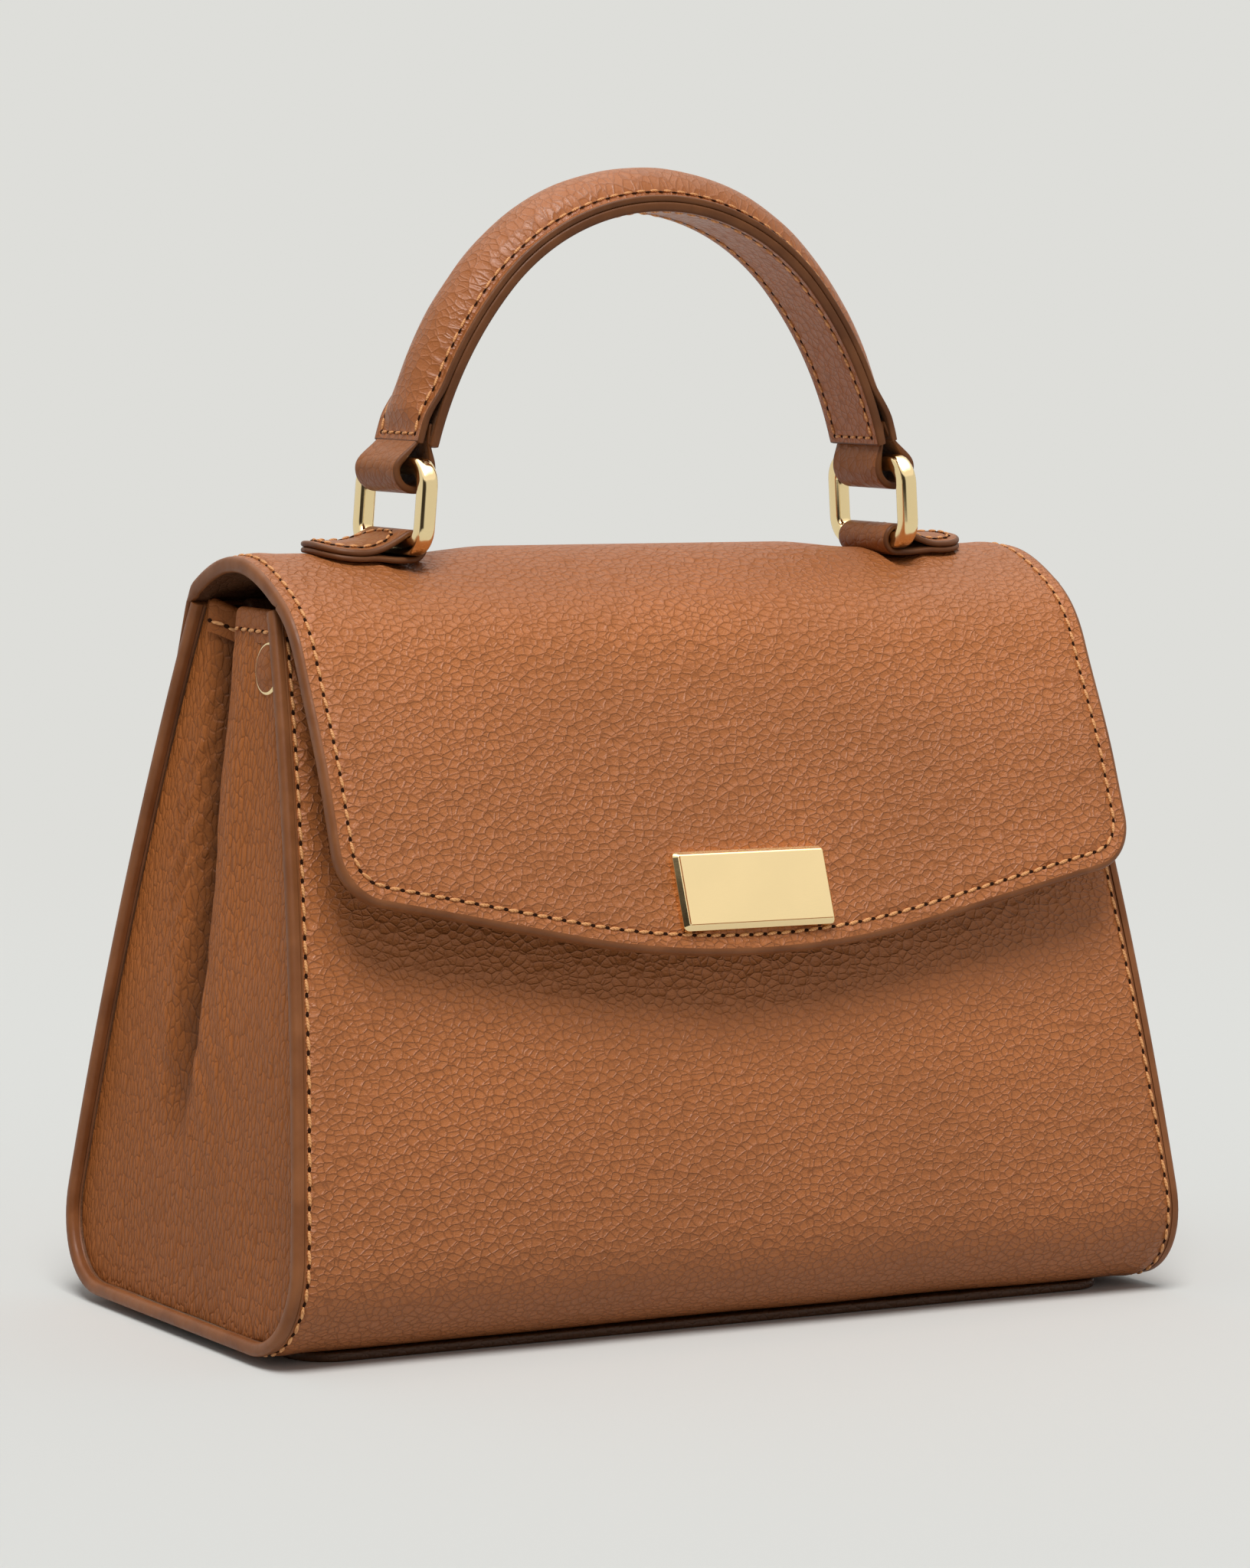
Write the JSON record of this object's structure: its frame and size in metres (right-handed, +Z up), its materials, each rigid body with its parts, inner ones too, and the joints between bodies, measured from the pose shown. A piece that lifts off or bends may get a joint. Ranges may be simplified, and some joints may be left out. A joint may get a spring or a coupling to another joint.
{
  "type": "top handle bag",
  "caption": "Trapezoid leather top handle bag with a fold-over flap, a plain metal clasp plate, pleated gussets and an arched padded handle on hinged rings.",
  "frame": {"origin": "middle of the base on the floor", "axes": "+X to the right seen from the front, the front faces -Y, +Z up"},
  "size_m": [0.2754, 0.1414, 0.3065],
  "materials": {
    "body_leather": "pebbled, semi-matt",
    "handle_leather": "fine grain, semi-matt",
    "gusset_leather": "fine grain, semi-matt",
    "edge_leather": "painted edge, satin",
    "facing_leather": "smooth, matt",
    "base_leather": "smooth, matt",
    "board": "pressed fibre board",
    "lining_fabric": "woven, matt",
    "padding": "felt cord",
    "gold": "polished",
    "clasp_metal": "satin"
  },
  "bodies": {
    "body": {"front_panel": "body_leather", "back_panel": "body_leather", "base_panel": "base_leather", "base_stiffener": "board", "left_gusset": "gusset_leather", "right_gusset": "gusset_leather", "left_gusset_binding": "gusset_leather", "right_gusset_binding": "gusset_leather", "left_edge_welt": "edge_leather", "right_edge_welt": "edge_leather", "lining": "lining_fabric", "front_mouth_facing": "facing_leather", "back_mouth_facing": "facing_leather", "mouth_roll": "facing_leather", "clasp_socket": "clasp_metal", "clasp_socket_washer": "clasp_metal", "left_pleat_stud": "gold", "right_pleat_stud": "gold", "pleat_stud_washers": "clasp_metal", "flap_anchor": "body_leather"},
    "flap": {"flap_outer": "body_leather", "flap_lining": "facing_leather", "clasp_plate": "gold", "clasp_plate_rivets": "clasp_metal", "clasp_stud": "clasp_metal", "left_tab": "body_leather", "right_tab": "body_leather"},
    "ring_left": {"left_ring": "gold"},
    "ring_right": {"right_ring": "gold"},
    "handle": {"handle_cover": "handle_leather", "handle_core": "padding", "handle_strap": "handle_leather", "left_handle_loop": "handle_leather", "right_handle_loop": "handle_leather"}
  },
  "joints": [
    {"name": "flap_hinge", "type": "hinge", "parent": "body", "child": "flap", "pos_m": [0, 0.02513, 0.1932], "axis": [-1, 0, 0], "range_deg": [0, 150]},
    {"name": "left_ring_hinge", "type": "hinge", "parent": "flap", "child": "ring_left", "pos_m": [-0.07508, -0.004, 0.20627], "axis": [0, 1, 0], "range_deg": [-45, 45]},
    {"name": "right_ring_hinge", "type": "hinge", "parent": "flap", "child": "ring_right", "pos_m": [0.07508, -0.004, 0.20627], "axis": [0, 1, 0], "range_deg": [-45, 45]},
    {"name": "handle_hinge", "type": "hinge", "parent": "ring_left", "child": "handle", "pos_m": [-0.07362, -0.004, 0.22722], "axis": [0, 1, 0], "range_deg": [-45.8, 45.8]}
  ],
  "couplings": [
    {"joint": "right_ring_hinge", "follows": "left_ring_hinge", "ratio": 1},
    {"joint": "handle_hinge", "follows": "left_ring_hinge", "ratio": -1.0175}
  ]
}
